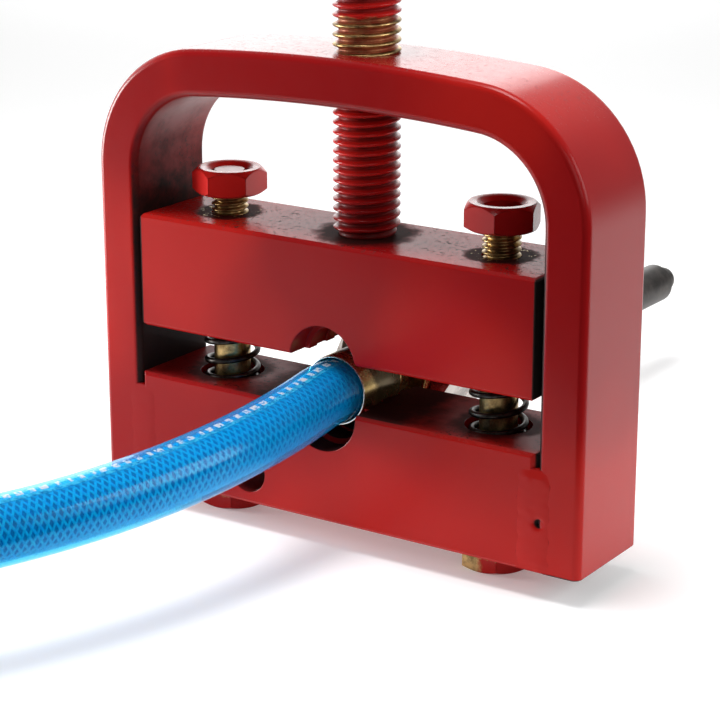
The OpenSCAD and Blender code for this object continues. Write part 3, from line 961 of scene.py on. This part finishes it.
def add_hose_uv(piece):
    """UV of the outer skin: metres along the hose, and turns round it."""
    layer = piece.data.uv_layers.new(name="hose")
    for loop in piece.data.loops:
        ring, k = divmod(loop.vertex_index, HOSE_SIDES)
        station = min(max(ring - 1, 0), len(STATIONS) - 1)
        layer.data[loop.index].uv = (STATIONS[station][3] * MM, k / HOSE_SIDES)
    # Faces across the seam get their turns raised by one, so that they don't run backwards
    for polygon in piece.data.polygons:
        loops = list(polygon.loop_indices)
        turns = [layer.data[i].uv[1] for i in loops]
        if max(turns) - min(turns) > 0.5:
            for i in loops:
                if layer.data[i].uv[1] < 0.5:
                    layer.data[i].uv[1] += 1.0


def braid_strands():
    """Two families of yarns that spiral opposite ways and pass over and under each other."""
    family, lead, weave = 12, 18.6, 0.10
    half_w, half_t = 0.56, 0.13
    spread = half_w / BRAID_R
    shapes = []
    for hand in (-1, 1):
        for n in range(family):
            rings = []
            for station in STATIONS:
                turns = station[3] / lead
                angle = TURN * (hand * turns + n / family)
                wave = math.cos(TURN * family * turns + (0 if hand > 0 else math.pi))
                middle = BRAID_R + weave * wave
                rings.append([hose_point(station, angle - spread, middle),
                              hose_point(station, angle - spread * 0.5, middle + half_t),
                              hose_point(station, angle + spread * 0.5, middle + half_t),
                              hose_point(station, angle + spread, middle),
                              hose_point(station, angle, middle - half_t)])
            shapes.append(skin(rings))
    return join_shapes(*shapes)


def hose():
    cover = show("hose_cover_tube", hose_tube(HOSE_R, HOSE_R - COVER_T), clear_cover(), "hose_assembly",
                 "hose_cover")
    add_hose_uv(cover)
    # The yarn is painted darker towards the die: painted shade
    yarn = plastic("yarn", (0.42, 0.86, 1.0), (0.10, 0.56, 0.96), 0.35, 900.0, near_die_shade=(0.06, 0.38, 0.70))
    show("hose_braid_yarns", braid_strands(), yarn, "hose_assembly", "hose_braid", sharp_deg=80)
    dark_blue = plastic("liner", (0.0, 0.13, 0.5), (0.0, 0.07, 0.36), 0.3, 80.0)
    liner = hose_tube(LINER_R, LINER_BORE_R)
    show("hose_liner_tube", liner, dark_blue, "hose_assembly", "hose_liner")


# ---- Fitting ----

def ferrule():
    """Thin sleeve over the hose, with a floor that closes on the stem behind the hose's end."""
    paint = metal("ferrule_metal", (0.78, 0.58, 0.27), (0.42, 0.28, 0.10), 0.24, 160.0,
                  darken=ferrule_dark_back, rim=ferrule_rim)
    low, high = FERRULE_LOW.y, FERRULE_HIGH.y
    wall, floor_t, hole_r = 0.42, 0.8, 4.56
    inner_r = FERRULE_R - wall
    outline = [(inner_r, low), (FERRULE_R, low), (FERRULE_R, high), (hole_r, high),
               (hole_r, high - floor_t), (inner_r, high - floor_t)]
    shape = placed(skin(turned(rounded(outline, 0.2), 96), closed=True), ALONG_DIE)
    show("ferrule_shell", shape, paint, "hose_assembly", "ferrule")


def hose_stem(gold):
    """Barbed insert with a collar behind the ferrule, a neck through the die and a threaded end."""
    bore_r, root_r, crest_r = 2.5, 3.5, 3.96
    shank_r, collar_r, collar_l, neck_r, plug_r = 4.5, 6.6, 3.4, 6.0, 5.2
    barbs, edge = 4, 0.3
    collar_y = FERRULE_HIGH.y + 0.02
    thread_low, thread_high = BACK_Y + 1, STEM_HIGH.y
    plug_end = BACK_Y + 4.4
    pitch = (HOSE_END_Y - STEM_LOW.y) / barbs
    outline = [(bore_r, STEM_LOW.y)]
    for i in range(barbs):
        outline.append((root_r, STEM_LOW.y + i * pitch))
        outline.append((crest_r, STEM_LOW.y + (i + 0.8) * pitch))
    outline += [(shank_r, HOSE_END_Y + 0.02), (shank_r, collar_y),
                (collar_r - edge, collar_y), (collar_r, collar_y + 0.4),
                (collar_r, collar_y + collar_l - 0.4), (collar_r - edge, collar_y + collar_l),
                (neck_r, collar_y + collar_l), (neck_r, thread_low + edge),
                (plug_r, thread_low + 0.4), (plug_r, plug_end), (bore_r, plug_end)]
    socket_r, seat_r, seat_l = 5.05, 6.2, 2.8
    thread = thread_shape(UNION_R, UNION_PITCH, thread_low, thread_high, segments=72, per_pitch=10)
    socket = turned([(seat_r, thread_high), (socket_r, thread_high - seat_l), (socket_r, thread_low)], 72)
    shapes = [skin(turned(outline, 72), closed=True), skin(thread + socket, closed=True, caps=False)]
    show("hose_stem_barbed", placed(join_shapes(*shapes), ALONG_DIE), gold, "hose_assembly",
         "hose_stem", sharp_deg=50)


def cutting_ring(dark):
    """Wedge-shaped ring that the union nut presses into the stem's seat."""
    ring_low, ring_high = (corner.y for corner in mm_box("cutting_ring"))
    bore_r, tip_r, cone_r, outer_r = 5.02, 5.25, 6.1, 6.7
    outline = [(bore_r, ring_low), (tip_r, ring_low), (cone_r, ring_low + 2.1), (outer_r, ring_low + 2.8),
               (outer_r, ring_low + 3.6), (bore_r, ring_high)]
    shape = placed(skin(turned(rounded(outline, 0.15), 72), closed=True), ALONG_DIE)
    show("cutting_ring_wedge", shape, dark, "hose_assembly", "cutting_ring")


def union_nut():
    """Hexagonal nut over the stem's thread, with a cone that bears on the cutting ring."""
    nickel = metal("nickel", (0.50, 0.46, 0.42), (0.16, 0.13, 0.11), 0.24, 140.0)
    tube_hole_r, cone_r, thread_hole_r = 5.1, 7.4, UNION_R + 0.05
    thread_end = STEM_HIGH.y
    chamber_end = thread_end + 0.3
    bore = [(tube_hole_r, NUT_HIGH.y), (tube_hole_r, thread_end + 4.3), (cone_r, thread_end + 1.9),
            (cone_r, chamber_end), (thread_hole_r, chamber_end), (thread_hole_r, NUT_LOW.y + 0.5),
            (UNION_R + 0.5, NUT_LOW.y)]
    nut = hex_shape(UNION_FLATS, NUT_LOW.y, NUT_HIGH.y, bore, top_slope=0.6)
    show("union_nut_hex", placed(nut, ALONG_DIE), nickel, "union_nut", "union_nut")


def tail_line():
    """Centre line of the tail tube, (place, slope) pairs: out of the fitting, down a slope, then level."""
    bend_r, slope, bend_steps = 40.0, math.radians(8), 8
    lead, sloping, level = 28.0, 69.6, 17.0
    bend_l = bend_r * slope
    place = Vector((DIE_X, TUBE_LOW.y, DIE_Z))
    angle = 0.0
    line = [(place, angle)]
    for length, turn in ((lead, 0), (bend_l, slope), (sloping, 0), (bend_l, -slope), (level, 0)):
        count = bend_steps if turn else 1
        for _ in range(count):
            angle += turn / count / 2
            place = place + Vector((0, math.cos(angle), -math.sin(angle))) * (length / count)
            angle += turn / count / 2
            line.append((place, angle))
    return line


def tail_tube(dark):
    """Tube with a stepped, rounded nose. It gets thinner by a hair towards the nose."""
    radius, bore_r, sides = 5.0, 3.5, 64
    nose_r, nose_l, plug_l, taper = 3.3, 6.8, 5.0, 0.05
    nose_steps, nose_step_deg = 8, 12
    line = tail_line()

    def ring(station, r, ahead=0.0):
        middle, tilt = station
        up = Vector((0, math.sin(tilt), math.cos(tilt)))
        forward = Vector((0, math.cos(tilt), -math.sin(tilt)))
        side = Vector((1, 0, 0))
        turns = [TURN * k / sides for k in range(sides)]
        return [middle + forward * ahead + (side * math.cos(a) + up * math.sin(a)) * r for a in turns]

    end = line[-1]
    rings = [ring(line[0], radius - 0.3)]
    rings += [ring(station, radius - taper * i / len(line)) for i, station in enumerate(line[:-1])]
    for r, ahead in ((radius - taper, -0.4), (radius - 0.4, 0.0), (nose_r + 0.1, 0.0), (nose_r, 0.2)):
        rings.append(ring(end, r, ahead))
    for k in range(nose_steps):
        a = math.radians(k * nose_step_deg)
        rings.append(ring(end, nose_r * math.cos(a), nose_l - nose_r + nose_r * math.sin(a)))
    rings.append(ring(end, NEEDLE, -plug_l))
    rings.append(ring(end, bore_r, -plug_l))
    rings += [ring(station, bore_r) for station in reversed(line[:-1])]
    show("tail_tube_dark", skin(rings, closed=True, caps=False), dark, "hose_assembly", "tail_tube")


def fitting():
    ferrule()
    hose_stem(metal("brass", (0.78, 0.56, 0.24), (0.42, 0.27, 0.09), 0.24, 160.0))
    dark = metal("dark_steel", (0.085, 0.074, 0.068), (0.03, 0.026, 0.024), 0.42, 200.0, shine=0.7)
    cutting_ring(dark)
    union_nut()
    tail_tube(dark)


# ---- Studio ----

# How far round from the front the camera stands
AZIMUTH = math.radians(33.73)
TOWARDS_CAMERA = Vector((math.sin(AZIMUTH), -math.cos(AZIMUTH), 0))


def aim(thing, place, target):
    thing.location = Vector(place) * MM
    thing.rotation_mode = "QUATERNION"
    thing.rotation_quaternion = (Vector(target) - Vector(place)).to_track_quat("-Z", "Y")


def floor():
    size = 3000
    corners = [(-size, -size), (size, -size), (size, size), (-size, size)]
    make_piece("floor", [(x, y, FLOOR_Z) for x, y in corners], [(0, 1, 2, 3)], floor_paper())


def black_card():
    """Black card just out of the picture, below the camera: it keeps the far floor off the front faces."""
    across = Vector((math.cos(AZIMUTH), math.sin(AZIMUTH), 0))
    away, half_w, gap, height = 106, 500, 0.5, 90
    middle = TOWARDS_CAMERA * away
    corners = [middle + across * (side * half_w) + Vector((0, 0, FLOOR_Z + rise))
               for side, rise in ((-1, gap), (1, gap), (1, height), (-1, height))]
    card = make_piece("black_card", corners, [(0, 1, 2, 3)], black_cloth())
    card.visible_camera = False
    card.visible_shadow = False


def lamps():
    """Square lamps aimed at the press: (name, place, width in millimetres, watts)."""
    target = (0, 0, 40)
    for name, place, width, power in (("key", (-40, -60, 640), 240, 2.8),
                                      ("side", (640, 120, 330), 380, 2.3),
                                      ("back", (-500, 750, 330), 560, 1.4),
                                      ("left", (-350, -120, 75), 140, 1.3),
                                      ("fill", (420, -370, 260), 300, 0.42)):
        data = bpy.data.lights.new(name, "AREA")
        data.size = width * MM
        data.energy = power
        lamp = bpy.data.objects.new(name, data)
        bpy.context.collection.objects.link(lamp)
        aim(lamp, place, target)


def sky():
    """White surroundings low down behind the object and to its left, dim everywhere else."""
    camera_side, dim, white = 0.08, 0.30, 1.30
    world = bpy.data.worlds.new("studio")
    bpy.context.scene.world = world
    world.use_nodes = True
    g = Graph(world.node_tree)
    x, y, z = g.split(g.coords("Generated"))
    behind = g.step(y, -0.75, 0.1)
    low_left = g.product(g.step(z, 0.52, 0.36), g.step(x, 0.25, -0.05))
    background = world.node_tree.nodes["Background"]
    g.put(background.inputs["Color"], (1.0, 1.0, 1.0, 1.0))
    g.put(background.inputs["Strength"], g.blend(behind, camera_side, g.blend(low_left, dim, white)))


def camera():
    """The photographed view: 34 degrees round from the front and 17 above."""
    elevation, distance = math.radians(17.19), 483.2
    target = Vector((-0.2, 0, 32.8))
    back = TOWARDS_CAMERA * math.cos(elevation) + Vector((0, 0, math.sin(elevation)))
    data = bpy.data.cameras.new("camera")
    data.lens = 114.1
    data.sensor_width = 36
    data.clip_start = 0.01
    data.clip_end = 20
    cam = bpy.data.objects.new("camera", data)
    bpy.context.collection.objects.link(cam)
    aim(cam, target + back * distance, target)
    bpy.context.scene.camera = cam


press_blocks()
weld_beads()
press_screw()
guide_bolts()
stop_nuts()
springs()
hose()
fitting()
floor()
black_card()
bpy.context.scene.view_settings.view_transform = "Standard"
sky()
lamps()
camera()
